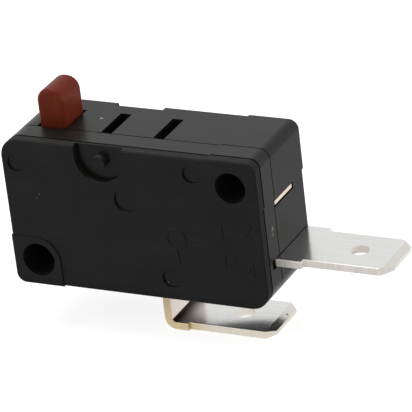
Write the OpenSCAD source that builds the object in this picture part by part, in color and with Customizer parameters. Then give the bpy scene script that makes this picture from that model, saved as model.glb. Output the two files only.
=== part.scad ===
// Snap-action micro switch with a top plunger and two push-on tabs.
// The origin is on the axis of the lower mounting hole, at the middle of the body's depth.
// X runs along the body to the right, Y from the cover to the back, Z up to the plunger.

/* [Body] */
// Length of the body, end to end
body_l = 27.8; // [25:0.1:36]
// Height of the body
body_h = 15.9; // [15:0.1:20]
// Depth of the body, front to back
body_d = 10.3; // [9.8:0.1:14]
// Depth of the cover, from the front to its joint with the case
cover_d = 3.5; // [2.7:0.1:3.6]
// Thickness of the moulded walls
wall = 1.3; // [1.1:0.05:1.5]
// Radius of the two corners without a mounting hole
corner_r = 2; // [0.8:0.1:2.4]
// Radius of the two corners at the mounting holes
hole_corner_r = 1; // [0.8:0.1:2]
// Radius that softens the rims of the front and the back
edge_r = 0.2; // [0.1:0.05:0.4]
// Side of the raised pads at the two holes
pad_size = 5.2; // [4:0.1:6]
// How far the pads stand proud of the rest of the body
pad_proud = 0.1; // [0.05:0.01:0.2]

/* [Mounting holes] */
// Diameter of the lower mounting hole
lower_hole_d = 3.5; // [2.4:0.1:3.6]
// Diameter of the upper mounting hole
upper_hole_d = 3.2; // [2.4:0.1:3.4]
// Distance of a hole's axis from the nearest end and long side
hole_edge = 2.8; // [2.6:0.1:3.2]
// Diameter of the solid boss round each hole
boss_d = 5.4; // [5.2:0.1:6]

/* [Lever fixings] */
// Distance of the round recess from the left end
recess_x = 10.9; // [9:0.05:12]
// Diameter of the round recess on the front and the back
recess_d = 5.2; // [4:0.1:5.6]
// Depth of the round recess
recess_depth = 0.7; // [0.2:0.05:0.8]
// Diameter of the pivot stud that stands in the recess
stud_d = 1.4; // [0.8:0.1:2]
// Distance of the left top slot from the left end
slot_a = 10.3; // [9:0.1:11.5]
// Distance of the right top slot from the left end
slot_b = 16; // [14:0.1:16.5]
// Width of a top slot along the body
slot_w = 1.2; // [0.6:0.1:1.6]
// Length of a top slot from the cover joint to the back
slot_l = 4.4; // [3:0.1:5]
// Depth of a top slot
slot_depth = 1.9; // [1:0.1:2.4]

/* [Plunger] */
// Distance of the plunger's middle from the left end
plunger_x = 4.3; // [4:0.05:5]
// Width of the plunger along the body
plunger_w = 2.9; // [2:0.1:3.2]
// Depth of the plunger from front to back
plunger_l = 4.05; // [3:0.05:4.4]
// Height of the plunger above the body
plunger_rise = 3.8; // [2:0.05:6]
// Radius of the arch at the plunger's top
plunger_arch = 1.35; // [0.4:0.05:1.4]

/* [Terminals] */
// Width of a push-on tab
tab_w = 6.35; // [5.6:0.05:6.6]
// Thickness of the terminal strip
tab_t = 0.8; // [0.5:0.05:1]
// Length of a tab from the body or the bend to its tip
tab_l = 11.6; // [9:0.1:14]
// Length of the wider root of a tab
shoulder_l = 2.5; // [1.8:0.05:3.5]
// How much wider the right tab's root is on each side
side_step = 0.55; // [0.1:0.05:0.6]
// How much wider the lower tab's root is on each side
common_step = 0.35; // [0.1:0.05:0.4]
// Length of the cut corners at the right tab's tip
side_cut_l = 1.25; // [0.6:0.05:2]
// Width of the cut corners at the right tab's tip
side_cut_w = 1.1; // [0.6:0.05:1.6]
// Length of the cut corners at the lower tab's tip
common_cut_l = 0.9; // [0.6:0.05:2]
// Width of the cut corners at the lower tab's tip
common_cut_w = 0.85; // [0.6:0.05:1.6]
// Length of the bevel that thins a tab's tip
tip_bevel = 0.85; // [0.3:0.05:1.2]
// Radius that softens the long edges of a tab
tab_edge = 0.1; // [0.05:0.01:0.2]
// Diameter of the latch hole in a tab
tab_hole_d = 2; // [1.4:0.1:2.4]
// Distance of the latch hole from the tip
tab_hole_back = 4.5; // [3.5:0.1:6]
// Distance of the tabs' middle behind the middle of the body
tab_shift = 1.05; // [0.4:0.05:1.1]
// Height of the right tab's upper face above the body's bottom
side_tab_z = 4.6; // [3.4:0.05:5]
// Distance of the common terminal's outer face from the right end
common_inset = 13.2; // [12.8:0.1:13.6]
// Gap between the body's bottom and the lower tab
common_drop = 3.95; // [3:0.05:6]
// Inside radius of the lower tab's bend
bend_r = 0.4; // [0.2:0.1:0.8]
// Width of the normally closed strip
strip_w = 3.9; // [3:0.1:4.4]
// Thickness of the normally closed strip
strip_t = 0.4; // [0.3:0.05:0.5]

/* [Snap mechanism] */
// Distance of the contacts' axis from the right end
contact_inset = 6.3; // [6:0.1:6.6]
// Diameter of the contact heads
contact_d = 3; // [2.4:0.1:3.2]
// Height of a fixed contact's head
contact_h = 0.6; // [0.4:0.05:0.8]
// Height of each head of the moving contact
head_h = 0.55; // [0.4:0.05:0.7]
// Opening between the moving contact and the lower contact
contact_gap = 0.95; // [0.6:0.05:1.2]
// Thickness of the contact arm
arm_t = 0.4; // [0.3:0.05:0.5]
// Thickness of the actuating lever
lever_t = 0.5; // [0.4:0.05:0.6]
// Height of the lever's pivot above the body's bottom
lever_pivot_z = 4.9; // [4.2:0.1:5.2]
// Width of the metal parts inside the body
inner_w = 5.5; // [5.3:0.1:5.8]
// Outer diameter of the spring's coil
coil_d = 2.2; // [1.6:0.1:2.4]
// Diameter of the spring wire
wire_d = 0.3; // [0.2:0.05:0.4]
// Number of turns in the coil
coil_turns = 9; // [6:1:12]

/* [Clearances] */
// Room in front of and behind the plunger in its guide
guide_fit = 0.15; // [0.08:0.01:0.25]
// Room at the plunger's two sides in its guide
guide_play = 0.2; // [0.08:0.01:0.4]
// Room round a metal strip in its moulded slot
slot_fit = 0.08; // [0.04:0.01:0.15]
// Room in front of a terminal in the cover's notch
notch_room = 0.7; // [0.05:0.05:0.9]
// Room round a pivot bead in its groove
pivot_fit = 0.06; // [0.03:0.01:0.08]
// Room between parts that touch at rest
rest_gap = 0.08; // [0.04:0.01:0.12]
// Room round a rivet's shank
rivet_fit = 0.03; // [0.01:0.01:0.05]

/* [Hidden] */
$fn = 48;

// Faces of the body
left = -hole_edge;
right = left + body_l;
bottom = -hole_edge;
top = bottom + body_h;
front = -body_d / 2;
back = body_d / 2;
seam = front + cover_d;
far = body_l + body_h;
over = 1;
holes = [[0, 0], [right - hole_edge, top - hole_edge]];
hole_r = [lower_hole_d / 2, upper_hole_d / 2];

// Room inside the body
room_front = front + pad_proud + wall;
room_back = back - pad_proud - wall;
room_r = 0.5;
pad_r = pad_size - hole_edge;

// Spigots of the cover that sit in the case round the mounting holes
spigot_wall = 0.4;
spigot_l = 1.2;

// Shadow lines moulded round the cover: one near the front, one at the joint with the case
line_y = front + 1.05;
line_w = 0.2;
line_depth = 0.15;
joint_line_w = 0.12;

// Marks left on the cover by the ejector pins: distance from the left, height, diameter
ejector_marks = [[13.4, 10.4, 2.5], [20.95, 14.05, 2], [17.4, 2.4, 2], [1.7, 13.2, 1.9]];
ejector_depth = 0.2;

// How far the round recess stands above the top, and the stud below the recess's middle
recess_lift = 1.35;
stud_drop = 0.45;

// Plunger
plunger_mid = left + plunger_x;
plunger_front = seam + guide_fit;
plunger_back = plunger_front + plunger_l;
plunger_mid_y = (plunger_front + plunger_back) / 2;
plunger_edge = 0.4;
arch_flat = 0.1;
arch_r = min(plunger_arch, (plunger_w - arch_flat) / 2);
flange_rim = 0.7;
flange_gap = 0.5;
flange_back = room_back - flange_gap;
flange_h = 1.1;
stem_w = 2.2;
stem_l = 3;

// Metal strips
side_root_w = tab_w + 2 * side_step;
common_root_w = tab_w + 2 * common_step;
tip_flat = 0.5;
inside_back = right - wall + slot_fit;
strip_lap = 0.5;
contact_x = right - contact_inset;
land_rim = 0.25;
contact_land = contact_d / 2 + land_rim;
shank_r = 0.8;
dome_r = 4;
post_x = right - common_inset;
post_end = post_x + tab_t;
post_over = 0.8;
fork_room = 0.5;
fork_w = coil_d + 2 * fork_room;
fork_floor = 1;
strip_room = 0.4;

// Heights, worked down from the boss of the upper hole
strip_top = holes[1][1] - boss_d / 2 - slot_fit;
strip_bottom = strip_top - strip_t;
arm_z = strip_bottom - contact_h - rest_gap - head_h - arm_t / 2;
seat_top = arm_z - arm_t / 2 - head_h - contact_gap - contact_h;
side_tab_top = bottom + side_tab_z;
common_tab_top = bottom - common_drop;
lever_top = arm_z;
nose_z = lever_top + rest_gap;

// Slope of the right terminal inside the body, from the contact's seat down to the tab
jog_inset = 0.8;
jog_run = 1;
jog_end = inside_back - jog_inset;
jog_start = jog_end - jog_run;
jog_lean = tab_t * tan(atan2(seat_top - side_tab_top, jog_run) / 2);

// Pivots of the lever and the arm on the common terminal
lever_pivot = [post_x, bottom + lever_pivot_z];
arm_pivot = [post_end, arm_z];
bead_r = 0.2;
bead_neck = 0.14;
leg_fit = 0.05;
leg_w = (inner_w - fork_w) / 2 - 2 * leg_fit;
leg_mid = (inner_w - leg_w) / 2 - leg_fit;

// Lever plate: its rim beside the stem, the length of its wide end, its reach past the hook
plate_rim = 0.5;
plate_wide = 0.8;
plate_past = 0.6;

// Hooks of the spring
hook_hole_r = 0.4;
hook_w = 1.8;
lever_hook_back = 4.1;
lever_hook_x = post_x - lever_hook_back;
lever_hook_rise = 1.15;
arm_window = 3.1;
arm_hook_t = 0.45;
arm_hook_drop = 0.7;
hook_rim = 0.55;

// Extrude a drawing of X and Z from one depth to another
module slab(y0, y1) {
    translate([0, y1, 0])
        rotate([90, 0, 0])
            linear_extrude(y1 - y0)
                children();
}

// Rectangle with round corners, given by its sides
module soft_square(x0, x1, y0, y1, r) {
    translate([x0 + r, y0])
        square([x1 - x0 - 2 * r, y1 - y0]);
    translate([x0, y0 + r])
        square([x1 - x0, y1 - y0 - 2 * r]);
    for (x = [x0 + r, x1 - r], y = [y0 + r, y1 - r])
        translate([x, y])
            circle(r);
}

// Box between two opposite corners
module block(low, high) {
    translate(low)
        cube(high - low);
}

// Upright rod along Y through a point of the XZ plane
module rod(at, r, y0, y1) {
    slab(y0, y1)
        translate(at)
            circle(r);
}

// Block with round corners seen from the front, and softened front and back rims
module soft_block(low, high, corner, edge) {
    size = high - low;
    translate([low[0] + corner, 0, 0])
        rotate([90, 0, 90])
            linear_extrude(size[0] - 2 * corner)
                soft_square(low[1], high[1], low[2], high[2], edge);
    translate([0, 0, low[2] + corner])
        linear_extrude(size[2] - 2 * corner)
            soft_square(low[0], high[0], low[1], high[1], edge);
    for (x = [low[0] + corner, high[0] - corner], z = [low[2] + corner, high[2] - corner])
        translate([x, low[1], z])
            rotate([-90, 0, 0])
                rotate_extrude()
                    intersection() {
                        soft_square(-corner, corner, 0, size[1], edge);
                        square([corner, size[1]]);
                    }
}

// Body block, drawn in by a margin, with a given radius at its corners
module soft_body(inset, corner) {
    margin = [inset, inset, inset];
    soft_block([left, front, bottom] + margin, [right, back, top] - margin, corner, edge_r);
}

// Corners of the body that hold the mounting holes, seen from the front
module hole_pads() {
    soft_square(left - pad_size, left + pad_size, bottom - pad_size, bottom + pad_size, pad_r);
    soft_square(right - pad_size, right + pad_size, top - pad_size, top + pad_size, pad_r);
}

// Outer form of the whole body: a round-cornered block, proud and squarer at the two mounting holes
module body_form() {
    soft_body(pad_proud, corner_r);
    intersection() {
        soft_body(0, hole_corner_r);
        slab(front - over, back + over)
            hole_pads();
    }
}

// Outline of the body seen from the front, drawn in by a margin
module body_outline(inset) {
    soft_square(left + inset, right - inset, bottom + inset, top - inset, corner_r);
    intersection() {
        soft_square(left + inset, right - inset, bottom + inset, top - inset, hole_corner_r);
        hole_pads();
    }
}

// Room for the mechanism, seen from the front, with the solid parts that carry the metal left out
module room_outline() {
    difference() {
        soft_square(left + wall, right - wall, bottom + wall, top - wall, room_r);
        for (h = holes)
            translate(h)
                circle(d = boss_d);
        translate([left, bottom])
            square([hole_edge, hole_edge + boss_d / 2]);
        translate([left, bottom])
            square([hole_edge + boss_d / 2, hole_edge]);
        translate([contact_x - contact_land, strip_top + slot_fit])
            square([far, far]);
        translate([left + slot_a - slot_w / 2 - wall, top - slot_depth - wall])
            square([slot_b - slot_a + slot_w + 2 * wall, far]);
        translate([contact_x - contact_d / 2, bottom])
            square([
                jog_start - jog_lean - slot_fit - contact_x + contact_d / 2,
                seat_top - tab_t - slot_fit - bottom
            ]);
    }
}

// Openings in the end and bottom walls where the metal strips leave the body
module strip_slots() {
    block(
        [
            right - wall - slot_fit, tab_shift - side_root_w / 2 - notch_room,
            side_tab_top - tab_t - slot_fit
        ],
        [right + over, tab_shift + side_root_w / 2 + slot_fit, side_tab_top + slot_fit]
    );
    block(
        [post_x - slot_fit, tab_shift - common_root_w / 2 - notch_room, bottom - over],
        [post_end + slot_fit, tab_shift + common_root_w / 2 + slot_fit, bottom + wall + slot_fit]
    );
    block(
        [right - wall - slot_fit, seam, strip_bottom - 3 * slot_fit],
        [right + over, seam + strip_w + strip_room, strip_top + slot_fit]
    );
}

// Round recess open to the top, with a pivot stud in it, cut into one face of the body
module lever_recess(y0, y1) {
    mid = left + recess_x;
    low = top - recess_d / 2 + recess_lift;
    difference() {
        slab(y0, y1) {
            translate([mid, low])
                circle(d = recess_d);
            translate([mid - recess_d / 2, low])
                square([recess_d, recess_d]);
        }
        rod([mid, low - stud_drop], stud_d / 2, y0 - over, y1 + over);
    }
}

// Shallow line round the body at one depth
module shadow_line(y0, y1) {
    difference() {
        block([left - over, y0, bottom - over], [right + over, y1, top + over]);
        slab(y0 - over, y1 + over)
            body_outline(pad_proud + line_depth);
    }
}

module case() {
    color("#2a292c")
        difference() {
            intersection() {
                body_form();
                block([left - over, seam, bottom - over], [right + over, back + over, top + over]);
            }
            slab(seam - over, room_back)
                room_outline();
            for (i = [0, 1]) {
                rod(holes[i], hole_r[i], front - over, back + over);
                rod(
                    holes[i], hole_r[i] + spigot_wall + slot_fit,
                    seam - over, seam + spigot_l + slot_fit
                );
            }
            strip_slots();
            lever_recess(back - pad_proud - recess_depth, back + over);
            for (x = [slot_a, slot_b])
                block(
                    [left + x - slot_w / 2, seam - over, top - slot_depth],
                    [left + x + slot_w / 2, seam + slot_l, top + over]
                );
            block(
                [plunger_mid - plunger_w / 2 - guide_play, seam - over, top - wall - over],
                [plunger_mid + plunger_w / 2 + guide_play, plunger_back + guide_fit, top + over]
            );
        }
}

module cover() {
    color("#262528")
        difference() {
            union() {
                difference() {
                    intersection() {
                        body_form();
                        block([left - over, front - over, bottom - over], [right + over, seam, top + over]);
                    }
                    slab(room_front, seam + over)
                        room_outline();
                    shadow_line(line_y, line_y + line_w);
                    shadow_line(seam - joint_line_w, seam + over);
                    lever_recess(front - over, front + pad_proud + recess_depth);
                    for (m = ejector_marks)
                        rod(
                            [left + m[0], bottom + m[1]], m[2] / 2,
                            front - over, front + pad_proud + ejector_depth
                        );
                }
                for (i = [0, 1])
                    rod(holes[i], hole_r[i] + spigot_wall, seam - wall, seam + spigot_l);
            }
            for (i = [0, 1])
                rod(holes[i], hole_r[i], front - over, back + over);
            strip_slots();
        }
}

// Plunger: arched head through the guide, a flange that stops it under the top wall, a stem with a round nose
module plunger() {
    x0 = plunger_mid - plunger_w / 2;
    x1 = plunger_mid + plunger_w / 2;
    head_top = top + plunger_rise;
    flange_top = top - wall - rest_gap;
    flange_bottom = flange_top - flange_h;
    color("#8f342c") {
        intersection() {
            soft_block(
                [x0, plunger_front, flange_bottom - arch_r], [x1, plunger_back, head_top],
                arch_r, plunger_edge
            );
            block([left, front, flange_bottom], [right, back, head_top + over]);
        }
        block(
            [x0 - flange_rim, plunger_front - flange_rim, flange_bottom],
            [x1 + flange_rim, flange_back, flange_top]
        );
        block(
            [plunger_mid - stem_w / 2, plunger_mid_y - stem_l / 2, nose_z + stem_w / 2],
            [plunger_mid + stem_w / 2, plunger_mid_y + stem_l / 2, flange_top]
        );
        rod(
            [plunger_mid, nose_z + stem_w / 2], stem_w / 2,
            plunger_mid_y - stem_l / 2, plunger_mid_y + stem_l / 2
        );
    }
}

// Flat bar along X with softened long edges, centred on the tabs' middle, with its upper face at z
module soft_bar(x0, x1, w, z) {
    translate([x0, 0, 0])
        rotate([90, 0, 90])
            linear_extrude(x1 - x0)
                soft_square(tab_shift - w / 2, tab_shift + w / 2, z - tab_t, z, tab_edge);
}

// Push-on tab lying flat, from its wide root to its tip, with its upper face at z and its corners cut off
module push_on_tab(root, root_w, shoulder, tip, z, cut_l, cut_w) {
    slim = tab_w / 2;
    soft_bar(root, shoulder, root_w, z);
    difference() {
        intersection() {
            soft_bar(root, tip, tab_w, z);
            translate([0, tab_shift, z - 2 * tab_t])
                linear_extrude(4 * tab_t)
                    polygon([
                        [root, -slim], [tip - cut_l, -slim], [tip, cut_w - slim],
                        [tip, slim - cut_w], [tip - cut_l, slim], [root, slim]
                    ]);
            slab(front - tab_w, back + tab_w)
                translate([0, z - tab_t / 2])
                    polygon([
                        [root, -tab_t / 2], [tip - tip_bevel, -tab_t / 2], [tip, -tip_flat * tab_t / 2],
                        [tip, tip_flat * tab_t / 2], [tip - tip_bevel, tab_t / 2], [root, tab_t / 2]
                    ]);
        }
        translate([tip - tab_hole_back, tab_shift, z])
            cylinder(h = 4 * tab_t, d = tab_hole_d, center = true);
    }
}

// Terminal out of the bottom: a bent tab below, a forked post inside that carries the lever and the arm
module common_terminal() {
    bend_x = post_end + bend_r;
    bend_z = common_tab_top + bend_r;
    y0 = tab_shift - common_root_w / 2;
    y1 = tab_shift + common_root_w / 2;
    color("#d8d4cb")
        difference() {
            union() {
                push_on_tab(
                    bend_x, common_root_w, post_x + shoulder_l, post_x + tab_l,
                    common_tab_top, common_cut_l, common_cut_w
                );
                translate([bend_x, 0, bend_z])
                    rotate([-90, 0, 0])
                        rotate([0, 0, 90])
                            rotate_extrude(angle = 90)
                                soft_square(bend_r, bend_r + tab_t, y0, y1, tab_edge);
                translate([0, 0, bend_z])
                    linear_extrude(bottom + wall - bend_z)
                        soft_square(post_x, post_end, y0, y1, tab_edge);
                block([post_x, -inner_w / 2, bottom], [post_end, inner_w / 2, arm_z + post_over]);
            }
            block(
                [post_x - over, -fork_w / 2, lever_pivot[1] - fork_floor],
                [post_end + over, fork_w / 2, arm_z + 2 * post_over]
            );
            for (p = [lever_pivot, arm_pivot])
                rod(p, bead_r + pivot_fit, -inner_w, inner_w);
        }
}

// Terminal out of the right end, sloped up inside the body to carry the lower contact.
// A block inside both joins the slope and the tab, so they stay one piece at any length.
module normally_open_terminal() {
    color("#d8d4cb") {
        push_on_tab(
            inside_back, side_root_w, right + shoulder_l, right + tab_l,
            side_tab_top, side_cut_l, side_cut_w
        );
        block(
            [inside_back - strip_lap, strip_lap - inner_w / 2, side_tab_top - tab_t],
            [inside_back + strip_lap, inner_w / 2 - strip_lap, side_tab_top]
        );
        difference() {
            slab(-inner_w / 2, inner_w / 2)
                polygon([
                    [contact_x - contact_land, seat_top], [jog_start, seat_top], [jog_end, side_tab_top],
                    [inside_back, side_tab_top], [inside_back, side_tab_top - tab_t],
                    [jog_end - jog_lean, side_tab_top - tab_t], [jog_start - jog_lean, seat_top - tab_t],
                    [contact_x - contact_land, seat_top - tab_t]
                ]);
            translate([contact_x, 0, seat_top])
                cylinder(h = 4 * tab_t, r = shank_r + rivet_fit, center = true);
        }
    }
}

// Strip in the upper slot of the right end, cut off level with the wall
module normally_closed_plate() {
    color("#d9b878")
        difference() {
            block(
                [contact_x - contact_land, seam + slot_fit, strip_bottom],
                [right - pad_proud, seam + slot_fit + strip_w, strip_top]
            );
            translate([contact_x, 0, strip_top])
                cylinder(h = 4 * strip_t, r = shank_r + rivet_fit, center = true);
        }
}

// Lever under the plunger: a plate, two legs that stand in the lower grooves, a hook for the spring
module actuating_lever() {
    plate_end = lever_hook_x + plate_past;
    hook_z = lever_top + lever_hook_rise;
    color("#c9c4b8") {
        block(
            [plunger_mid - stem_w / 2, -stem_l / 2 - plate_rim, lever_top - lever_t],
            [plate_end, stem_l / 2 + plate_rim, lever_top]
        );
        block(
            [lever_hook_x - plate_wide, leg_fit - inner_w / 2, lever_top - lever_t],
            [plate_end, inner_w / 2 - leg_fit, lever_top]
        );
        difference() {
            block(
                [lever_hook_x - lever_t / 2, -hook_w / 2, lever_top - lever_t / 2],
                [lever_hook_x + lever_t / 2, hook_w / 2, hook_z + hook_rim]
            );
            translate([lever_hook_x, 0, hook_z])
                rotate([0, 90, 0])
                    cylinder(h = 4 * lever_t, r = hook_hole_r, center = true);
        }
        for (side = [-1, 1])
            translate([0, side * leg_mid, 0]) {
                slab(-leg_w / 2, leg_w / 2)
                    polygon([
                        [lever_hook_x, lever_top - lever_t], [plate_end, lever_top],
                        lever_pivot + [0, bead_neck], lever_pivot - [bead_neck, 0]
                    ]);
                rod(lever_pivot, bead_r, -leg_w / 2, leg_w / 2);
            }
    }
}

// Arm that carries the moving contact: two legs in the upper grooves, a window for the spring, a hook
module contact_arm() {
    window_end = arm_pivot[0] + arm_window;
    hook_z = arm_z - arm_hook_drop;
    color("#cfa765") {
        translate([0, 0, arm_z - arm_t / 2])
            linear_extrude(arm_t)
                difference() {
                    union() {
                        for (side = [-1, 1])
                            translate([arm_pivot[0], side * leg_mid - leg_w / 2])
                                square([arm_window + arm_hook_t, leg_w]);
                        translate([window_end, leg_fit - inner_w / 2])
                            square([2 * arm_hook_t, inner_w - 2 * leg_fit]);
                        translate([window_end, -contact_d / 2])
                            square([contact_x - window_end, contact_d]);
                        translate([contact_x, 0])
                            circle(contact_land);
                    }
                    translate([contact_x, 0])
                        circle(shank_r + rivet_fit);
                }
        difference() {
            block(
                [window_end, -hook_w / 2, hook_z - hook_rim],
                [window_end + arm_hook_t, hook_w / 2, arm_z]
            );
            translate([window_end, 0, hook_z])
                rotate([0, 90, 0])
                    cylinder(h = 4 * arm_hook_t, r = hook_hole_r, center = true);
        }
        for (side = [-1, 1])
            translate([0, side * leg_mid, 0])
                rod(arm_pivot, bead_r, -leg_w / 2, leg_w / 2);
    }
}

// Spring from the lever's hook to the arm's hook, swept along its wire
spring_from = [lever_hook_x, 0, lever_top + lever_hook_rise];
spring_to = [arm_pivot[0] + arm_window + arm_hook_t / 2, 0, arm_z - arm_hook_drop];
spring_span = norm(spring_to - spring_from);
along = (spring_to - spring_from) / spring_span;
across = [0, 1, 0];
upward = cross(along, across);
lead = 1.5;
steps = 12;
hook_r = 0.35;
hook_reach = 0.55;

function on_axis(s, a, b) = spring_from + s * along + a * across + b * upward;
function turn_r(t) = (coil_d - wire_d) / 2 * min(1, 2 * t, 2 * (coil_turns - t));
wire_path = concat(
    [for (a = [0:30:90]) on_axis(-hook_reach - hook_r * cos(a), 0, -hook_r * (1 - sin(a)))],
    [
        for (i = [0:steps * coil_turns])
            let (t = i / steps)
                on_axis(
                    lead + (spring_span - 2 * lead) * t / coil_turns,
                    turn_r(t) * sin(360 * t), turn_r(t) * cos(360 * t)
                )
    ],
    [for (a = [0:30:90]) on_axis(spring_span + hook_reach + hook_r * sin(a), 0, -hook_r * (1 - cos(a)))]
);

// Tube of a list of points, with its cross-section carried along from ring to ring
module wire(path, r, sides) {
    count = len(path);
    tangents = [
        for (i = [0:count - 1])
            let (d = path[min(i + 1, count - 1)] - path[max(i - 1, 0)])
                d / norm(d)
    ];
    function turned(n, t) = let (v = n - (n * t) * t) v / norm(v);
    normals = [
        for (
            i = 0, n = turned(across, tangents[0]);
            i < count;
            i = i + 1, n = turned(n, tangents[min(i, count - 1)])
        )
            n
    ];
    points = [
        for (i = [0:count - 1], k = [0:sides - 1])
            let (a = 360 * k / sides)
                path[i] + r * (cos(a) * normals[i] + sin(a) * cross(tangents[i], normals[i]))
    ];
    walls = [
        for (i = [0:count - 2], k = [0:sides - 1])
            let (j = (k + 1) % sides)
                [i * sides + k, (i + 1) * sides + k, (i + 1) * sides + j, i * sides + j]
    ];
    start_cap = [for (k = [0:sides - 1]) k];
    end_cap = [for (k = [0:sides - 1]) count * sides - 1 - k];
    polyhedron(points, concat(walls, [start_cap, end_cap]), convexity = 10);
}

module tension_spring() {
    color("#b8b6ae")
        wire(wire_path, wire_d / 2, 6);
}

// Domed contact head standing on its flat side
module contact_head(h) {
    rotate_extrude()
        intersection() {
            square([contact_d / 2, h]);
            translate([0, h - dome_r])
                circle(dome_r, $fn = 192);
        }
}

// Rivet through a strip with a domed head above, below or on both sides
module rivet(x, z, strip, above, below) {
    translate([x, 0, z]) {
        cylinder(h = strip, r = shank_r);
        if (above > 0)
            translate([0, 0, strip])
                contact_head(above);
        if (below > 0)
            mirror([0, 0, 1])
                contact_head(below);
    }
}

module moving_contact() {
    color("#cfcdc6")
        rivet(contact_x, arm_z - arm_t / 2, arm_t, head_h, head_h);
}

module normally_open_contact() {
    color("#cfcdc6")
        rivet(contact_x, seat_top - tab_t, tab_t, contact_h, 0);
}

module normally_closed_contact() {
    color("#cfcdc6")
        rivet(contact_x, strip_bottom, strip_t, 0, contact_h);
}

case();
cover();
plunger();
common_terminal();
normally_open_terminal();
normally_closed_plate();
actuating_lever();
contact_arm();
tension_spring();
moving_contact();
normally_open_contact();
normally_closed_contact();
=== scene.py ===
# %% [markdown]
# # A snap-action micro switch
# The switch is a black two-part moulding about 28 mm long. A red plunger stands on top, and two flat brass
# tabs leave it for push-on wire ends. The imported model already holds every piece at its real size, so this
# lesson gives the pieces their finishes, adds the moulded signs on the front, builds the spring inside as
# two halves of new wire, and sets up the portrait.

# %% Load the fixed frame
import math

import bmesh
import bpy
import numpy as np
from mathutils import Matrix, Vector


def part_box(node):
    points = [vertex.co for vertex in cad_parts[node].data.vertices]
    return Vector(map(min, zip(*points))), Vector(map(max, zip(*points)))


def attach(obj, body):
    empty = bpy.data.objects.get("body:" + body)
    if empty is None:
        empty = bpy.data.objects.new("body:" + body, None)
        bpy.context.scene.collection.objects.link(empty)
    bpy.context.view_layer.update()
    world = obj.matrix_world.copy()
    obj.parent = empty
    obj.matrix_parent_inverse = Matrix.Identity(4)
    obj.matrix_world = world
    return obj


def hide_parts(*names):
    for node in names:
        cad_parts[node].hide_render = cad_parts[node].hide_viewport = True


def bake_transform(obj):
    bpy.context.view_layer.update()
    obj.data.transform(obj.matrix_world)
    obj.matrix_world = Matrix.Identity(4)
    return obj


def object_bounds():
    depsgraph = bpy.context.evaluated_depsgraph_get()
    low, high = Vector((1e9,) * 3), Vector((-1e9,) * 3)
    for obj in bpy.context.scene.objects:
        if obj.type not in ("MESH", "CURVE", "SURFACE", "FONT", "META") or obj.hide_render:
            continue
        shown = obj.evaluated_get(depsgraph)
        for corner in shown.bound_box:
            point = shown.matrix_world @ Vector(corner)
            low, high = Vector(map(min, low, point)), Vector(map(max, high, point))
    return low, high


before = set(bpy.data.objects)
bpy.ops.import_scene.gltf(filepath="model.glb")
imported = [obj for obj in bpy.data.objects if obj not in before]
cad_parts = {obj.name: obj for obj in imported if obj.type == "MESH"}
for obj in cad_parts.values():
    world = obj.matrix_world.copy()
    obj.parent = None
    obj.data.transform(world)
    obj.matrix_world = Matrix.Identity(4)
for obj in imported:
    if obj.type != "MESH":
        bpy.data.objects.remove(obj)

MM = 0.001
cad_low, cad_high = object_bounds()
print("CAD box in mm:", [round(v / MM, 2) for v in (*cad_low, *cad_high)])

# %% [markdown]
# ## Measuring the body
# Everything that follows is placed from the two mouldings, which together make the rectangular body. The
# cover is the thin front half. Two low pads round its screw holes stand a little proud of its face, so
# the face that the signs stand on lies that much behind the front of the box.

# %% Corners of the body and the front face
case_low, case_high = (np.array(corner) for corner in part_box("case"))
cover_low, cover_high = (np.array(corner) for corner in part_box("cover"))
body_low = np.minimum(case_low, cover_low)
body_high = np.maximum(case_high, cover_high)
body_middle = (body_low + body_high) / 2
pad_rise = 0.1 * MM
front_face_y = body_low[1] + pad_rise
print("body in mm:", np.round((body_high - body_low) / MM, 2))

# %% [markdown]
# ## The camera
# The picture was taken with a long lens, from the front right and a little above, and the camera was
# tipped slightly. A camera could be aimed with a Track To constraint, but that can't tip it,
# so the three directions of its own frame are worked out and written into its matrix.

# %% Camera at the photograph's angle
photo_pixels = 412
azimuth = math.radians(28.74)
elevation = math.radians(25.89)
tip = math.radians(-6.98)
camera_distance = 361 * MM
focal_pixels = 3690
picture_right = 4.886 * MM
picture_up = -0.44 * MM

towards_camera = Vector((math.sin(azimuth) * math.cos(elevation),
                         -math.cos(azimuth) * math.cos(elevation),
                         math.sin(elevation)))
level_right = Vector((0, 0, 1)).cross(towards_camera).normalized()
level_up = towards_camera.cross(level_right)
camera_right = math.cos(tip) * level_right + math.sin(tip) * level_up
camera_up = math.cos(tip) * level_up - math.sin(tip) * level_right
camera_place = (Vector(body_middle) + camera_distance * towards_camera
                + picture_right * camera_right + picture_up * camera_up)

lens = bpy.data.cameras.new("portrait_camera")
lens.sensor_width = 36
lens.lens = lens.sensor_width * focal_pixels / photo_pixels
lens.clip_start = camera_distance / 10
lens.clip_end = camera_distance * 100
camera = bpy.data.objects.new("portrait_camera", lens)
turn = Matrix((camera_right, camera_up, towards_camera)).transposed()
camera.matrix_world = Matrix.Translation(camera_place) @ turn.to_4x4()
bpy.context.scene.collection.objects.link(camera)
bpy.context.scene.camera = camera
bpy.context.scene.view_settings.view_transform = "Standard"
print("lens:", round(lens.lens, 1), "mm at", round(camera_distance / MM), "mm")

# %% [markdown]
# ## Node helpers
# A procedural finish is a small tree of nodes. Building each one by hand takes many lines that differ
# little, so a few short helpers add a node, set its plain values and link its inputs. A value that is a
# socket is linked, and anything else is set on the socket.

# %% Helpers that build node trees
def feed(tree, socket, value):
    """Link a socket to another, or set its plain value."""
    if isinstance(value, bpy.types.NodeSocket):
        tree.links.new(value, socket)
    else:
        socket.default_value = value


def add_node(tree, kind, values, **settings):
    """Add one shader node, with its settings, and feed its inputs by name or number."""
    node = tree.nodes.new("ShaderNode" + kind)
    for name, setting in settings.items():
        setattr(node, name, setting)
    for name, value in values.items():
        feed(tree, node.inputs[name], value)
    return node


def calculate(tree, operation, first, second=0.0):
    """One step of arithmetic on two numbers."""
    return add_node(tree, "Math", {0: first, 1: second}, operation=operation).outputs[0]


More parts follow.
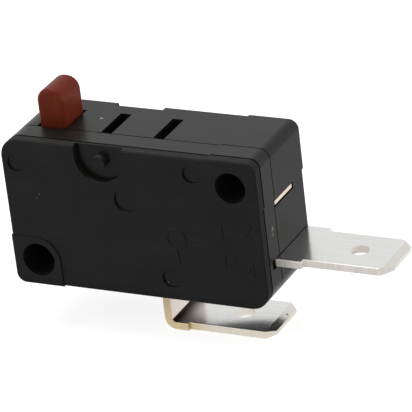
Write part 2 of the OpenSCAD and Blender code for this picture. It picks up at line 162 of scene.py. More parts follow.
def fade(tree, value, start, end, low=0.0, high=1.0):
    """A smooth climb from low to high while the value goes from start to end, and level outside."""
    values = {"Value": value, "From Min": start, "From Max": end, "To Min": low, "To Max": high}
    return add_node(tree, "MapRange", values, interpolation_type="SMOOTHSTEP").outputs[0]


def blend(tree, share, first, second):
    """A colour that goes from the first to the second as the share goes from 0 to 1."""
    return add_node(tree, "Mix", {0: share, 6: first, 7: second}, data_type="RGBA").outputs[2]


def speckle(tree, place, stretch, detail=2.0):
    """Noise whose cells number stretch per metre along X, Y and Z."""
    spread = add_node(tree, "Mapping", {"Vector": place, "Scale": stretch}).outputs[0]
    return add_node(tree, "TexNoise", {"Vector": spread, "Scale": 1.0, "Detail": detail}).outputs[0]


def roughen(tree, height, depth, under=None):
    """A bump of a given depth in metres, laid over another if there is one."""
    values = {"Height": height, "Distance": depth, "Strength": 1.0}
    if under is not None:
        values["Normal"] = under
    return add_node(tree, "Bump", values).outputs[0]


def new_finish(name):
    """An empty finish: the material, its tree, its shader and a node for the place and the facing."""
    material = bpy.data.materials.new(name)
    material.use_nodes = True
    tree = material.node_tree
    shader = tree.nodes["Principled BSDF"]
    where = tree.nodes.new("ShaderNodeTexCoord")
    return material, tree, shader, where


def split(tree, vector):
    """The X, Y and Z parts of a vector, by name."""
    return add_node(tree, "SeparateXYZ", {0: vector}).outputs


def product(tree, first, second):
    """The product of two numbers. For two flags, it is 1 where both are."""
    return calculate(tree, "MULTIPLY", first, second)


def larger(tree, first, second):
    """The larger of two numbers. For two flags, it is 1 where at least one is."""
    return calculate(tree, "MAXIMUM", first, second)


def grey(level):
    """A neutral colour of one level."""
    return (level, level, level, 1.0)


print("node helpers ready")

# %% [markdown]
# ## Floor, world and lamps
# The picture has a bare white ground. A white floor could be lit until it is white, but that would bleach
# the switch, so the lamps stay plain and the ground glows by itself only where the camera or a mirror
# looks at it. It keeps a soft shadow, because part of its white is still ordinary paint under the lamps.
# Mirrors see the full glow in a pool under the lower tab, and less farther off, as if a white sheet ended.

# %% White ground
def looks(tree):
    """Two flags: 1 for a ray from the camera, and 1 for one off a mirror or through glass."""
    rays = tree.nodes.new("ShaderNodeLightPath").outputs
    return rays["Is Camera Ray"], larger(tree, rays["Is Glossy Ray"], rays["Is Transmission Ray"])


def white_ground(paint_level, glow, far_glow, pool_middle, pool_edge):
    """White paint with a glow that only direct looks can see, and in mirrors a pool of it at the switch.

    The pool's edge is two distances from its middle. Between them the glow fades to the far glow.
    """
    material, tree, shader, where = new_finish("white_ground")
    tree.nodes.remove(shader)
    paint = add_node(tree, "BsdfDiffuse", {"Color": grey(paint_level)}).outputs[0]
    direct, mirrored = looks(tree)
    apart = {0: where.outputs["Object"], 1: pool_middle}
    away = add_node(tree, "VectorMath", apart, operation="DISTANCE").outputs["Value"]
    pool = fade(tree, away, *pool_edge, glow, far_glow)
    lit = larger(tree, product(tree, direct, glow), product(tree, mirrored, pool))
    light = add_node(tree, "Emission", {"Color": grey(1.0), "Strength": lit}).outputs[0]
    glowing_paint = add_node(tree, "AddShader", {0: paint, 1: light}).outputs[0]
    tree.links.new(glowing_paint, tree.nodes["Material Output"].inputs["Surface"])
    return material


def flat_sheet(name, half_side, height):
    """A square sheet facing up."""
    corners = np.array([(-1, -1), (1, -1), (1, 1), (-1, 1)]) * half_side
    points = np.column_stack((corners, np.full(len(corners), height)))
    mesh = bpy.data.meshes.new(name)
    mesh.from_pydata(points.tolist(), [], [range(len(points))])
    sheet = bpy.data.objects.new(name, mesh)
    bpy.context.scene.collection.objects.link(sheet)
    return sheet


floor_half_side = 5.0
floor = flat_sheet("floor", floor_half_side, cad_low[2])
ground = white_ground(paint_level=0.4, glow=0.80, far_glow=0.30,
                      pool_middle=(18 * MM, 2 * MM, cad_low[2]), pool_edge=(9 * MM, 14 * MM))
floor.data.materials.append(ground)
print("floor at", round(cad_low[2] / MM, 2), "mm")

# %% [markdown]
# The world stands for the white walls and ceiling of a studio. A picture of a real studio could light the
# scene, but on a bare ground one plain white is enough. It lights the switch at about half strength, and the
# camera and mirrors see it at full white.

# %% White world
world = bpy.data.worlds.new("white_studio")
world.use_nodes = True
bpy.context.scene.world = world
ambient_level = 0.55
sky = world.node_tree.nodes["Background"]
seen = larger(world.node_tree, *looks(world.node_tree))
level = fade(world.node_tree, seen, 0.0, 1.0, ambient_level, 1.0)
feed(world.node_tree, sky.inputs["Color"], grey(1.0))
feed(world.node_tree, sky.inputs["Strength"], level)
print("ambient light at", ambient_level)

# %% [markdown]
# Three square area lamps give a soft light: a large one overhead, one at the front left, and a small low one
# that reaches the right end. Point lamps would leave hard glints on the satin plastic.

# %% Soft lamps
def soft_lamp(name, side, height, depth, across, power):
    """A square lamp above the body, off to one side and in front or behind, aimed at the body."""
    lamp = bpy.data.lights.new(name, "AREA")
    lamp.size = across
    lamp.energy = power
    holder = bpy.data.objects.new(name, lamp)
    place = Vector(body_middle) + Vector((side, depth, height))
    aim = (Vector(body_middle) - place).to_track_quat("-Z", "Y")
    holder.matrix_world = Matrix.Translation(place) @ aim.to_matrix().to_4x4()
    bpy.context.scene.collection.objects.link(holder)
    return holder


overhead = soft_lamp("overhead_lamp", side=-0.10, height=0.45, depth=0.08, across=0.35, power=1.5)
front_left = soft_lamp("front_left_lamp", side=-0.35, height=0.25, depth=-0.35, across=0.30, power=0.7)
right_fill = soft_lamp("right_lamp", side=0.40, height=0.10, depth=0.12, across=0.20, power=0.6)
print("lamps:", overhead.name, front_left.name, right_fill.name)

# %% [markdown]
# ## Black moulded plastic
# The case and the cover are glass-filled plastic from a spark-eroded mould: nearly black, with a fine
# satin grain, and with faint flow streaks along the body. A real grain is far too fine for geometry, so
# it is bump, while the streaks and patches vary the colour and the gloss. Light hardly gets back out of
# the screw holes, so painted shade darkens the plastic inside them. A few grains of dust and one scuff lie
# where the picture shows them. Holes and marks are all soft discs round a point, so they share one function.

# %% Soft discs and the screw holes
screw_holes = [((0, 0, 0), 1.75 * MM), ((22.2 * MM, 0, 10.3 * MM), 1.6 * MM)]
wall_room = 0.02 * MM
hard_edge = 0.99


def discs(tree, place, spots, core=0.25):
    """The largest of one disc per spot: 1 in the core share of its radius and 0 from the radius outwards."""
    mask = 0.0
    for middle, radius in spots:
        reach = add_node(tree, "VectorMath", {0: place, 1: middle}, operation="DISTANCE")
        disc = fade(tree, reach.outputs["Value"], core * radius, radius, 1.0, 0.0)
        mask = larger(tree, disc, mask)
    return mask


def flattened(tree, place):
    """The place as seen straight from the front, with its depth set to 0."""
    return add_node(tree, "VectorMath", {0: place, 1: (1, 0, 1)}, operation="MULTIPLY").outputs[0]


def bores(tree, place):
    """1 inside the two screw holes, walls included, and 0 outside."""
    wide = [(axis, radius + wall_room) for axis, radius in screw_holes]
    return discs(tree, flattened(tree, place), wide, core=hard_edge)


print("screw holes:", len(screw_holes))

# %% [markdown]
# Some parts of the front take the light in their own way. The rim round the face is duller than the face
# itself. Small ledges that look up get painted light, so they are a little paler, and the foot of the face and
# a hollow beside the lower pad get painted shade. They could be cut out as meshes of their own, but the
# imported mesh must stay as it is, so the way that a face looks and its place on the body tell them apart.

# %% Parts of the front
top_z = body_high[2] - pad_rise
soft_edge = 0.1 * MM
ledge_top = top_z - 0.5 * MM
ledge_back = front_face_y + 0.25 * MM
rim_back = body_low[1] + 1.05 * MM
foot_height, foot_shade = 1.1 * MM, 0.9
pad_reach = 2.4 * MM
hollow_width = 0.7 * MM


def painted_shade_by_pad(tree, place, right):
    """Painted shade of a soft hollow along the right side of the lower pad: 1 at the pad and 0 a little
    outside it.

    The distance from the hole's axis is the length of the place with its negative parts set to 0: round
    the pad's corner both X and Z count, and below the hole only X does.
    """
    parts = {0: flattened(tree, place), 1: (0, 0, 0)}
    beyond = add_node(tree, "VectorMath", parts, operation="MAXIMUM").outputs[0]
    reach = add_node(tree, "VectorMath", {0: beyond}, operation="LENGTH").outputs["Value"]
    outside = product(tree, fade(tree, reach, pad_reach, pad_reach + hollow_width, 1.0, 0.0),
                      calculate(tree, "GREATER_THAN", reach, pad_reach))
    return product(tree, outside, fade(tree, right, 0.3 * pad_reach, 0.8 * pad_reach))


def front_parts(tree, place, facing):
    """Flags for parts of the front: small ledges that look up, for painted light, the rim round it, and what
    lies in painted shade.
    """
    axes, spots = split(tree, facing), split(tree, place)
    aside = fade(tree, calculate(tree, "ABSOLUTE", axes["Y"]), 0.85, 0.95, 1.0, 0.0)
    to_front = fade(tree, axes["Y"], -0.95, -0.85, 1.0, 0.0)
    upwards = fade(tree, axes["Z"], 0.75, 0.95)
    below_top = fade(tree, spots["Z"], ledge_top, ledge_top + soft_edge, 1.0, 0.0)
    near_front = fade(tree, spots["Y"], ledge_back, ledge_back + soft_edge / 2, 1.0, 0.0)
    ledge = product(tree, product(tree, upwards, near_front), below_top)
    rim = product(tree, aside, fade(tree, spots["Y"], rim_back, rim_back + soft_edge, 1.0, 0.0))
    foot = fade(tree, spots["Z"], body_low[2], body_low[2] + foot_height, foot_shade, 0.0)
    shaded = product(tree, to_front, larger(tree, foot, painted_shade_by_pad(tree, place, spots["X"])))
    return ledge, rim, shaded


print("rim ends at", round(rim_back / MM, 2), "mm")

# %% [markdown]
# The finish lays these masks over the streaked black, one after another. A painted picture could hold all
# of it, but that needs an unwrapped mesh, and a tree of nodes stays sharp at any distance.

# %% Finish of the mouldings
scuff_colour = (0.10, 0.075, 0.06, 1.0)
dust_colour = (0.40, 0.39, 0.37, 1.0)
painted_ledge_light, shade_level = 0.03, 0.0005
satin_roughness, rim_roughness = (0.26, 0.34), 0.7
streak_depth, grain_depth = 1.2e-6, 1.5e-6


def black_plastic(name, low, high, dust, scuffs):
    """Satin black: streaked and patchy between two levels, grained, with dust and scuffs, painted light on
    small ledges, and painted shade in the screw holes, at the foot and beside the lower pad.
    """
    material, tree, shader, where = new_finish(name)
    place = where.outputs["Object"]
    streaks = speckle(tree, place, (120, 2600, 2600), detail=3)
    patches = speckle(tree, place, (260, 260, 260), detail=4)
    grain = speckle(tree, place, (7000, 7000, 7000))
    tone = product(tree, streaks, patches)
    plain = blend(tree, fade(tree, tone, 0.12, 0.40), (*low, 1.0), (*high, 1.0))
    scuffed = blend(tree, discs(tree, place, scuffs), plain, scuff_colour)
    dusty = blend(tree, discs(tree, place, dust), scuffed, dust_colour)
    ledge, rim, shaded = front_parts(tree, place, where.outputs["Normal"])
    # Painted light: small ledges that look up are made paler.
    ledges_painted_light = blend(tree, ledge, dusty, grey(painted_ledge_light))
    inside = bores(tree, place)
    # Painted shade: darker inside the screw holes, at the foot of the front and in the hollow by the lower
    # pad.
    unlit = larger(tree, inside, shaded)
    feed(tree, shader.inputs["Base Color"], blend(tree, unlit, ledges_painted_light, grey(shade_level)))
    gloss = fade(tree, patches, 0.3, 0.7, *satin_roughness)
    dull = larger(tree, inside, product(tree, rim, rim_roughness))
    feed(tree, shader.inputs["Roughness"], larger(tree, gloss, dull))
    feed(tree, shader.inputs["Specular IOR Level"], 0.185)
    feed(tree, shader.inputs["Specular Tint"], (0.95, 0.89, 1.0, 1.0))
    ripple = roughen(tree, streaks, streak_depth)
    feed(tree, shader.inputs["Normal"], roughen(tree, grain, grain_depth, ripple))
    return material


print("dust, scuffs and shade ready")

# %% Dust and scuffs on the two mouldings
right_x = body_high[0] - pad_rise
mark_depth = 0.2 * MM
dust_on_cover = [((1.03 * MM, front_face_y, 7.29 * MM), 0.065 * MM),
                 ((0.73 * MM, front_face_y, 6.89 * MM), 0.05 * MM),
                 ((14.07 * MM, front_face_y + mark_depth, -0.91 * MM), 0.055 * MM),
                 ((right_x, -2.57 * MM, 5.09 * MM), 0.10 * MM)]
dust_on_case = [((5.42 * MM, 1.27 * MM, top_z), 0.14 * MM),
                ((5.58 * MM, 1.29 * MM, top_z), 0.14 * MM)]
scuff_on_cover = [((right_x, -2.57 * MM, 5.0 * MM), 0.40 * MM),
                  ((right_x, -2.70 * MM, 4.5 * MM), 0.35 * MM)]
black_low, black_high = (0.0052, 0.0058, 0.0042), (0.0078, 0.0084, 0.0064)
case_finish = black_plastic("black_moulded_case", black_low, black_high, dust_on_case, [])
cover_finish = black_plastic("black_moulded_cover", black_low, black_high, dust_on_cover, scuff_on_cover)
print("black finishes:", case_finish.name, cover_finish.name)

# %% [markdown]
# ## Red moulded plastic
# The plunger is a small smooth moulding in brownish red, and the colour is a touch cloudy, as dyed plastic
# is. Its faint draw marks run up the sides, the way it left the mould. Painted shade makes the faces that look
# up a deeper red, and darkens the foot, where it runs in its guide. One could paint these by hand, but the way
# a face looks and its height tell them apart.

# %% Finish of the plunger
red_low, red_high = (0.150, 0.0235, 0.0100, 1), (0.172, 0.0275, 0.0120, 1)
red_painted_top_shade = (0.116, 0.0155, 0.0080, 1)
red_foot, red_foot_shade = 1.6 * MM, 0.32


def red_plastic():
    """Brownish red, with painted shade on the faces that look up and at the foot, slightly cloudy, with fine
    draw marks along Z.
    """
    material, tree, shader, where = new_finish("red_moulded_plunger")
    place = where.outputs["Object"]
    cloud = speckle(tree, place, (500, 500, 500), detail=3)
    marks = speckle(tree, place, (4500, 4500, 350), detail=3)
    tone = blend(tree, fade(tree, cloud, 0.3, 0.7), red_low, red_high)
    upwards = split(tree, where.outputs["Normal"])["Z"]
    # Painted shade: faces that look up get a deeper red.
    top_painted_shade = blend(tree, fade(tree, upwards, 0.2, 0.6), tone, red_painted_top_shade)
    # Painted shade at the foot, darkening it towards black.
    foot = fade(tree, split(tree, place)["Z"], top_z, top_z + red_foot, red_foot_shade, 0.0)
    feed(tree, shader.inputs["Base Color"], blend(tree, foot, top_painted_shade, grey(0.0)))
    feed(tree, shader.inputs["Roughness"], fade(tree, marks, 0.3, 0.7, 0.27, 0.32))
    feed(tree, shader.inputs["Specular IOR Level"], 0.07)
    feed(tree, shader.inputs["Normal"], roughen(tree, marks, 0.12e-6))
    return material


plunger_finish = red_plastic()
print("red finish:", plunger_finish.name)

# %% [markdown]
# ## Tinned brass strip
# Both tabs are punched from brass strip that was tinned beforehand. The broad faces keep the bright tin
# with its rolling streaks, and the punched edges show bare, torn brass, which scatters light like a pale
# paint. One could paint the edges face by face, but the direction that a face looks in already tells
# them apart, so the surface normal makes the mask.

# %% Faces of a terminal
def strip_faces(tree, facing, along, flat_from):
    """Flags for a terminal's cut faces, its leg, the leg's inner side and the bevels of its tab.

    Cut faces look along Y, or stand upright past flat_from in X. Upright faces before it are the leg, and
    those of them that look along +X are its inner side. Past it, a bevel leans a little towards X.
    """
    axes = split(tree, facing)
    lean_x, lean_y, lean_z = (calculate(tree, "ABSOLUTE", axes[axis]) for axis in "XYZ")
    upright = fade(tree, lean_z, 0.25, 0.50, 1.0, 0.0)
    on_tab = calculate(tree, "GREATER_THAN", along, flat_from)
    on_leg = calculate(tree, "SUBTRACT", 1.0, on_tab)
    cut = larger(tree, fade(tree, lean_y, 0.03, 0.12), product(tree, upright, on_tab))
    leg = product(tree, upright, on_leg)
    inner = product(tree, fade(tree, axes["X"], 0.8, 0.95), on_leg)
    bevel = product(tree, fade(tree, lean_x, 0.08, 0.20), on_tab)
    return cut, leg, inner, bevel


print("masks of the terminals ready")

# %% [markdown]
# The colours differ by place. The tin is a little worn on the bevels. Painted shade darkens the faces that
# look up in the crook of a bend. Torn brass changes along the tab, and is paler in a punched hole. The
# stretch inside the body's wall gets painted deep shade.

# %% Colours of a terminal
tin_low, tin_high = (0.675, 0.675, 0.665, 1), (0.715, 0.715, 0.705, 1)
worn_tin = (0.655, 0.63, 0.585, 1)
bend_shade_colour = (0.02, 0.016, 0.013, 1)
hole_brass = (0.88, 0.84, 0.78, 1)
pit_colour = (0.05, 0.035, 0.02, 1)
tear_share, tear_level = 0.17, 0.35
brass_change = 3 * MM
wall_depth, wall_fade, wall_edge = 2.0 * MM, 0.5 * MM, 0.05 * MM


def tin_face(tree, facing, along, streaks, bevel, bend_shade):
    """Streaked tin, worn on the bevels, with painted shade on upward faces up to where the bend_shade fades in
    X.
    """
    tin = blend(tree, fade(tree, streaks, 0.3, 0.7), tin_low, tin_high)
    upwards = fade(tree, split(tree, facing)["Z"], 0.02, 0.10)
    # Painted shade in the crook of the bend, on faces that look up.
    crook = product(tree, upwards, fade(tree, along, *bend_shade, 1.0, 0.0))
    return blend(tree, crook, blend(tree, bevel, tin, worn_tin), bend_shade_colour)


def torn_brass(tree, place, along, tab_start, root_colour, edge_colour, pale_holes):
    """Brass that goes from the root's colour to the edge's where the tab starts, with grey tears along Z."""
    tears = speckle(tree, place, (3000, 3000, 700), detail=3)
    share = fade(tree, along, tab_start, tab_start + brass_change)
    clean = blend(tree, share, (*root_colour, 1.0), (*edge_colour, 1.0))
    ragged = blend(tree, fade(tree, tears, 0.35, 0.75, 0.0, tear_share), clean, grey(tear_level))
    return blend(tree, discs(tree, place, pale_holes, core=hard_edge), ragged, hole_brass)


def wall_shade(tree, along, shade_to):
    """1 in the stretch of strip that lies in the body's wall, which ends at shade_to in X."""
    start = shade_to - wall_depth
    return product(tree, fade(tree, along, start, start + wall_fade),
                   fade(tree, along, shade_to - wall_edge, shade_to, 1.0, 0.0))


print("colours of the terminals ready")

# %% [markdown]
# Punching and bending leave a tab slightly twisted: far too little to see in its outline, but plain in what
# it mirrors. Turning the mesh would move it off its size, so a bump does it instead. A height that climbs
# evenly across the tab leans its mirror image in the same way, and one that falls with Z leans the leg's.

# %% Finish of the terminals
leg_lean = -0.36
wall_level = 0.002
bright_roughness, cut_roughness = (0.14, 0.24), 0.42
rolled_depth, tin_grain_depth = 0.35e-6, 0.4e-6


def leaning(tree, place, along, inner, twist):
    """A bump whose height is Y times a slope that grows between two places in X, plus a lean of the leg."""
    spots = split(tree, place)
    start, end, slope = twist
    climb = product(tree, spots["Y"], fade(tree, along, start, end, 0.0, slope))
    lean = product(tree, product(tree, spots["Z"], inner), leg_lean)
    return roughen(tree, calculate(tree, "ADD", climb, lean), 1.0)


def tinned_strip(name, root_colour, edge_colour, edge_metal, leg_colour, shade_to, flat_from, bend_shade, twist,
                 pits, pale_holes):
    """Streaked tin with torn brass on the cut faces, a leg in its own colour, small pits, and painted shade in
    the wall and the crook of a bend.

    The painted shade of the wall ends at shade_to in X. The bend_shade gives two places in X that its painted
    shade fades between. The twist gives two more, and the slope that the tab gains between them. A place that
    the strip doesn't reach, or a slope of 0, leaves such a mark out.
    """
    material, tree, shader, where = new_finish(name)
    place, facing = where.outputs["Object"], where.outputs["Normal"]
    along = split(tree, place)["X"]
    streaks = speckle(tree, place, (300, 5200, 5200), detail=4)
    grain = speckle(tree, place, (6500, 6500, 6500), detail=3)
    cut, leg, inner, bevel = strip_faces(tree, facing, along, flat_from)
    broad = blend(tree, leg, tin_face(tree, facing, along, streaks, bevel, bend_shade), (*leg_colour, 1.0))
    brass = torn_brass(tree, place, along, flat_from, root_colour, edge_colour, pale_holes)
    pitted = blend(tree, discs(tree, place, pits), blend(tree, cut, broad, brass), pit_colour)
    # Painted deep shade on the stretch inside the body's wall.
    shade = wall_shade(tree, along, shade_to)
    feed(tree, shader.inputs["Base Color"], blend(tree, shade, pitted, grey(wall_level)))
    feed(tree, shader.inputs["Metallic"], fade(tree, cut, 0.0, 1.0, 1.0, edge_metal))
    gloss = fade(tree, grain, 0.3, 0.7, *bright_roughness)
    matt = larger(tree, product(tree, larger(tree, cut, leg), cut_roughness), shade)
    feed(tree, shader.inputs["Roughness"], larger(tree, gloss, matt))
    rolled = roughen(tree, streaks, rolled_depth, leaning(tree, place, along, inner, twist))
    feed(tree, shader.inputs["Normal"], roughen(tree, grain, tin_grain_depth, rolled))
    return material


print("leg leans by", leg_lean)

# %% The two terminals
tab_thickness = 0.8 * MM
bend_end = 14.2 * MM
common_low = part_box("common_terminal")[0]
common_top = common_low[2] + tab_thickness
common_hole = ((18.9 * MM, 1.05 * MM, common_top - tab_thickness / 2), 1.2 * MM)
pit = ((23.05 * MM, 1.96 * MM, common_top - 0.1 * MM), 0.18 * MM)
no_wall, no_bend_shade, no_twist = body_low[0], (0.0, 1 * MM), (0.0, 1.0, 0.0)
open_finish = tinned_strip(
    "tinned_strip_end", root_colour=(0.99, 0.94, 0.88), edge_colour=(0.98, 0.93, 0.88), edge_metal=0.1,
    leg_colour=(0.7, 0.7, 0.7), shade_to=right_x, flat_from=right_x, bend_shade=no_bend_shade, twist=no_twist,
    pits=[], pale_holes=[])
common_finish = tinned_strip(
    "tinned_strip_bottom", root_colour=(0.62, 0.50, 0.31), edge_colour=(0.72, 0.66, 0.57), edge_metal=1.0,
    leg_colour=(0.78, 0.70, 0.645), shade_to=no_wall, flat_from=bend_end, bend_shade=(12.7 * MM, 14.6 * MM),
    twist=(16.5 * MM, 22.5 * MM, 0.085), pits=[pit], pale_holes=[common_hole])
print("tinned finishes:", open_finish.name, common_finish.name)

# %% [markdown]
# ## Small inner metals
# The cut end of the upper strip shows in the right end, as bright bare brass. The lever, the arm, the
# spring and the contacts are shut inside, so they matter only where the switch is opened up or cut, but
# each still has the metal that such a switch uses. One function makes them all, because they differ only
# in colour, gloss and the way the metal was worked.

# %% Finishes of the inner metals
def worked_metal(name, low, high, gloss, stretch):
    """Bare metal between two tones, with streaks along the way that it was worked."""
    material, tree, shader, where = new_finish(name)
    streaks = speckle(tree, where.outputs["Object"], stretch, detail=3)
    tone = blend(tree, fade(tree, streaks, 0.3, 0.7), (*low, 1.0), (*high, 1.0))
    feed(tree, shader.inputs["Base Color"], tone)
    feed(tree, shader.inputs["Metallic"], 1.0)
    feed(tree, shader.inputs["Roughness"], fade(tree, streaks, 0.3, 0.7, *gloss))
    feed(tree, shader.inputs["Normal"], roughen(tree, streaks, 1.5e-6))
    return material


rolled_along_x = (350, 5000, 5000)
rolled_along_y = (5000, 350, 5000)
even_grain = (4000, 4000, 4000)
inner_metals = {
    "sheared_brass": ((0.94, 0.80, 0.60), (0.98, 0.88, 0.72), (0.30, 0.42), rolled_along_y),
    "sheet_steel": ((0.52, 0.51, 0.49), (0.64, 0.63, 0.61), (0.25, 0.38), rolled_along_x),
    "rolled_bronze": ((0.66, 0.44, 0.23), (0.76, 0.55, 0.32), (0.24, 0.36), rolled_along_x),
    "drawn_wire": ((0.48, 0.48, 0.47), (0.60, 0.60, 0.59), (0.20, 0.32), rolled_along_x),
    "silver_alloy": ((0.74, 0.73, 0.70), (0.84, 0.83, 0.80), (0.28, 0.44), even_grain),
}
metals = {name: worked_metal(name, *values) for name, values in inner_metals.items()}
print("inner finishes:", ", ".join(metals))

# %% [markdown]
# ## Dressing the pieces
# The imported pieces keep their own meshes, which are never changed. Each has one material slot, so a
# finish is given by writing it into that slot. The imported spring gets one too, although two halves
# take its place further on.

# %% Give every piece its finish
finishes = {
    "case": case_finish,
    "cover": cover_finish,
    "plunger": plunger_finish,
    "common_terminal": common_finish,
    "normally_open_terminal": open_finish,
    "normally_closed_plate": metals["sheared_brass"],
    "actuating_lever": metals["sheet_steel"],
    "contact_arm": metals["rolled_bronze"],
    "tension_spring": metals["drawn_wire"],
    "moving_contact": metals["silver_alloy"],
    "normally_open_contact": metals["silver_alloy"],
    "normally_closed_contact": metals["silver_alloy"],
}
for node, finish in finishes.items():
    for holder in bpy.data.objects[node].material_slots:
        holder.material = finish
print("dressed", len(finishes), "pieces")

# %% [markdown]
# ## Moulded signs on the front
# The cover carries a small circuit sign and the two contact numbers, as low ridges that the mould leaves
# on the face. A curve with a bevel would do, but a swept profile shows how such a stroke is made: a path
# on the face, and at each point of it a flat oval that rises above the face and sinks a little into it.
# Towards an open end the oval shrinks along a half circle, so the stroke ends round and closes in a point.

# %% Paths on the front face
LINE_POINTS, ARC_POINTS = 13, 33


def straight(start, end):
    """Points on a line from start to end: start plus a share of the way."""
    share = np.linspace(0, 1, LINE_POINTS)[:, None]
    return np.array(start) + share * (np.array(end) - np.array(start))


def arc(middle, across, up, first, last):
    """Points on an oval arc: middle plus across times the cosine and up times the sine of the angle."""
    angle = np.radians(np.linspace(first, last, ARC_POINTS))
    return np.array(middle) + np.column_stack((across * np.cos(angle), up * np.sin(angle)))


print("lines have", LINE_POINTS, "points and arcs", ARC_POINTS)

# %% A ridge along a path
SIDES = 10
END_RINGS, MIDDLE_RINGS, LOOP_RINGS = 6, 24, 48


def ridge(path, width, rise, closed=False):
    """A ridge on the front face along a path of X and Z in millimetres.

    At distance s along the path the profile is an oval: half the width times the cosine of an angle,
    across the path, and the rise times its sine, out of the face. Where the sine is negative it is
    halved, so that the ridge is rooted in the face. Near an open end both are multiplied by the square
    root of 1 - (1 - d)^2, with d the distance to that end over half the width.
    """
    steps = np.linalg.norm(np.diff(path, axis=0), axis=1)
    reach = np.concatenate(([0], np.cumsum(steps)))
    half = width / 2
    lead = half * (1 - np.cos(np.linspace(0, np.pi / 2, END_RINGS)))
    inner = np.linspace(half, reach[-1] - half, MIDDLE_RINGS)[1:-1]
    s = np.concatenate((lead, inner, reach[-1] - lead[::-1]))
    if closed:
        s = np.linspace(0, reach[-1], LOOP_RINGS, endpoint=False)
    x, z = (np.interp(s, reach, path[:, axis]) for axis in (0, 1))
    slope = np.column_stack([np.gradient(path[:, axis], reach) for axis in (0, 1)])
    run_x, run_z = (np.interp(s, reach, slope[:, axis]) for axis in (0, 1))
    length = np.hypot(run_x, run_z)
    across = np.column_stack((-run_z / length, run_x / length))
    from_end = np.clip(np.minimum(s, reach[-1] - s) / half, 0, 1)
    taper = np.ones_like(s) if closed else np.sqrt(1 - (1 - from_end) ** 2)
    angle = np.linspace(0, 2 * np.pi, SIDES, endpoint=False)
    out = np.where(np.sin(angle) > 0, 1.0, 0.5) * rise * np.sin(angle)
    side = half * taper[:, None] * np.cos(angle)
    points = np.empty((len(s), SIDES, 3))
    points[..., 0] = x[:, None] + side * across[:, :1]
    points[..., 1] = front_face_y / MM - taper[:, None] * out
    points[..., 2] = z[:, None] + side * across[:, 1:]
    return points * MM


def skin(points, closed):
    """Faces of a swept grid: a quad between each pair of rings, and round again if it is closed."""
    rings = len(points)
    first = np.arange(rings if closed else rings - 1)[:, None]
    side = np.arange(SIDES)[None, :]
    after, beside = (first + 1) % rings, (side + 1) % SIDES
    corners = (first * SIDES + side, first * SIDES + beside, after * SIDES + beside, after * SIDES + side)
    return np.stack(np.broadcast_arrays(*corners), axis=-1).reshape(-1, 4)


print("ridges have", SIDES, "sides")

# %% [markdown]
# The strokes of one sign are collected in one mesh. The rings at an open end have shrunk to a point, so
# merging points that coincide closes the ends, and recalculating the normals turns every face outwards.

# %% From points and faces to a piece
merge_distance, empty_size = 1e-7, 1e-8


def close_and_face_out(mesh):
    """Merge the points that coincide at the ends, drop empty faces and turn the rest outwards."""
    work = bmesh.new()
    work.from_mesh(mesh)
    bmesh.ops.remove_doubles(work, verts=work.verts, dist=merge_distance)
    bmesh.ops.dissolve_degenerate(work, edges=work.edges, dist=empty_size)
    bmesh.ops.recalc_face_normals(work, faces=work.faces)
    work.to_mesh(mesh)
    work.free()


def new_piece(name, points, faces, finish):
    """A smooth closed piece of these faces. Its points are in metres, where they lie on the part."""
    mesh = bpy.data.meshes.new(name)
    mesh.from_pydata(points.tolist(), [], faces)
    piece = bpy.data.objects.new(name, mesh)
    bpy.context.scene.collection.objects.link(piece)
    close_and_face_out(mesh)
    mesh.polygons.foreach_set("use_smooth", np.ones(len(mesh.polygons), dtype=bool))
    mesh.materials.append(finish)
    print(name, "has", len(mesh.polygons), "faces")
    return piece


print("points within", merge_distance, "m are merged")

# %% Collect strokes into a sign
sign_low, sign_high = (0.0040, 0.0040, 0.0043), (0.0060, 0.0059, 0.0063)
sign_finish = black_plastic("black_moulded_sign", sign_low, sign_high, [], [])


def sign_piece(name, strokes, width, rise):
    """One mesh of ridges: each stroke is a path, and a flag that says whether it closes on itself."""
    grids = [ridge(path, width, rise, closed) for path, closed in strokes]
    starts = np.concatenate(([0], np.cumsum([grid.shape[0] * SIDES for grid in grids])))
    faces = [skin(grid, closed) + start
             for grid, (path, closed), start in zip(grids, strokes, starts)]
    points = np.concatenate([grid.reshape(-1, 3) for grid in grids])
    piece = new_piece(name, points, np.concatenate(faces).tolist(), sign_finish)
    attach(piece, "housing")


print("sign finish:", sign_finish.name)

# %% Circuit sign
stroke_width = 0.26
stroke_rise = 0.07
ring_middle = (15.64, 4.08)
ring_radius = 1.0
circuit_strokes = [
    (arc(ring_middle, ring_radius, ring_radius, 0, 360), True),
    (straight((15.54, 3.06), (15.72, 1.26)), False),
    (straight((17.18, 4.27), (19.12, 4.27)), False),
    (straight((20.64, 4.68), (20.64, 6.08)), False),
    (straight((20.90, 5.58), (21.90, 5.58)), False),
    (straight((20.70, 1.66), (20.70, 2.98)), False),
    (straight((20.95, 2.43), (21.85, 2.43)), False),
]
sign_piece("circuit_sign", circuit_strokes, stroke_width, stroke_rise)

# %% Contact numbers
number_width = 0.22
two_low, two_high = (22.90, 5.04), (23.79, 6.68)
bowl = (two_high[0] - two_low[0]) / 2
bowl_middle = (two_low[0] + bowl, two_high[1] - bowl)
neck = (bowl_middle[0] + 0.75 * bowl, bowl_middle[1] - 0.68 * bowl)
two_strokes = [
    (np.concatenate((arc(bowl_middle, bowl, bowl, 165, -35), straight(neck, two_low))), False),
    (straight(two_low, (two_high[0], two_low[1])), False),
]
sign_piece("number_two", two_strokes, number_width, stroke_rise)

four_low, four_high = (22.94, 0.84), (23.84, 2.37)
stem_x, bar_z = 23.60, 1.25
four_strokes = [
    (straight((stem_x, four_low[1]), (stem_x, four_high[1])), False),
    (straight((stem_x, four_high[1]), (four_low[0], bar_z)), False),
    (straight((four_low[0], bar_z), (four_high[0], bar_z)), False),
]
sign_piece("number_four", four_strokes, number_width, stroke_rise)

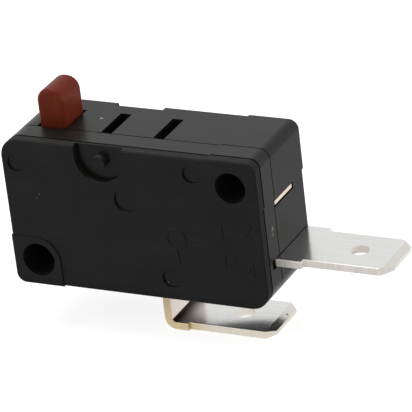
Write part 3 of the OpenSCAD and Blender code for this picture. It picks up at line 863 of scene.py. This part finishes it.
# %% [markdown]
# ## The spring between the lever and the arm
# A coil of fine wire pulls the lever's hook and the arm's hook together. When the plunger goes down, both
# hooks move, but the imported spring is rigid and stays behind with the housing. An armature could bend it.
# Two halves are simpler: the wire is one path, cut in the middle of the coil.

# %% Path of the spring wire
lever_hook = np.array((7.70, 0, 6.84)) * MM
arm_hook = np.array((15.925, 0, 4.99)) * MM
spring_span = np.linalg.norm(arm_hook - lever_hook)
spring_axis = (arm_hook - lever_hook) / spring_span
sideways = np.array((0.0, 1.0, 0.0))
spring_up = np.cross(spring_axis, sideways)
TURN_POINTS, HOOK_POINTS = 24, 7


def spring_path(coil_radius, turns, lead, reach, curl):
    """Points of the wire, and at each the direction away from the spring's axis.

    On the coil, t counts the turns. A point lies the lead plus a share t / turns of the rest along the
    axis. It stands off the axis by the coil's radius, which grows over the first half turn and shrinks
    over the last, towards the angle of t whole turns. At both ends a quarter circle makes the hook.
    """
    t = np.linspace(0, turns, TURN_POINTS * turns + 1)
    off = coil_radius * np.clip(2 * np.minimum(t, turns - t), 0, 1)
    quarter = np.linspace(0, np.pi / 2, HOOK_POINTS)
    unturned = np.zeros_like(quarter)
    distance = np.concatenate((-reach - curl * np.cos(quarter),
                               lead + (spring_span - 2 * lead) * t / turns,
                               spring_span + reach + curl * np.sin(quarter)))
    rise = np.concatenate((curl * (np.sin(quarter) - 1), off, curl * (np.cos(quarter) - 1)))
    angle = np.concatenate((unturned, 2 * np.pi * t, unturned))[:, None]
    out = np.sin(angle) * sideways + np.cos(angle) * spring_up
    return lever_hook + distance[:, None] * spring_axis + rise[:, None] * out, out


wire_path, wire_out = spring_path(coil_radius=0.95 * MM, turns=9, lead=1.5 * MM, reach=0.55 * MM,
                                  curl=0.35 * MM)
print("spring wire has", len(wire_path), "points")

# %% [markdown]
# The wire is round, so a circle is carried along the path. A curve with a round bevel would turn its circles
# in its own way. Here each circle starts from the direction away from the spring's axis, so the rings line
# up, and the two halves share the ring at the cut.

# %% Round wire along the path
wire_radius = 0.15 * MM


def unit(vectors):
    """Each vector over its own length."""
    return vectors / np.linalg.norm(vectors, axis=1)[:, None]


def wire_rings(path, out, radius):
    """A circle across the wire at each point of its path.

    It is the radius times the cosine of an angle, in the direction out of the spring's axis with its part
    along the path taken off, and times the sine, in the direction across that and the path.
    """
    tangent = unit(np.gradient(path, axis=0))
    away = unit(out - np.sum(out * tangent, axis=1)[:, None] * tangent)
    beside = np.cross(tangent, away)
    angle = np.linspace(0, 2 * np.pi, SIDES, endpoint=False)[None, :, None]
    return path[:, None] + radius * (np.cos(angle) * away[:, None] + np.sin(angle) * beside[:, None])


rings = wire_rings(wire_path, wire_out, wire_radius)
print("spring wire has", len(rings), "rings")

# %% Two halves of the spring
def half_spring(name, part):
    """A part of the rings, skinned and closed at both ends."""
    wire = rings[part]
    last = (len(wire) - 1) * SIDES
    caps = [list(range(SIDES)), list(range(last, last + SIDES))]
    faces = skin(wire, False).tolist() + caps
    piece = new_piece(name, wire.reshape(-1, 3), faces, metals["drawn_wire"])
    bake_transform(piece)
    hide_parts("tension_spring")


cut_point = len(rings) // 2
half_spring("spring_lever_half", slice(0, cut_point + 1))
half_spring("spring_arm_half", slice(cut_point, None))
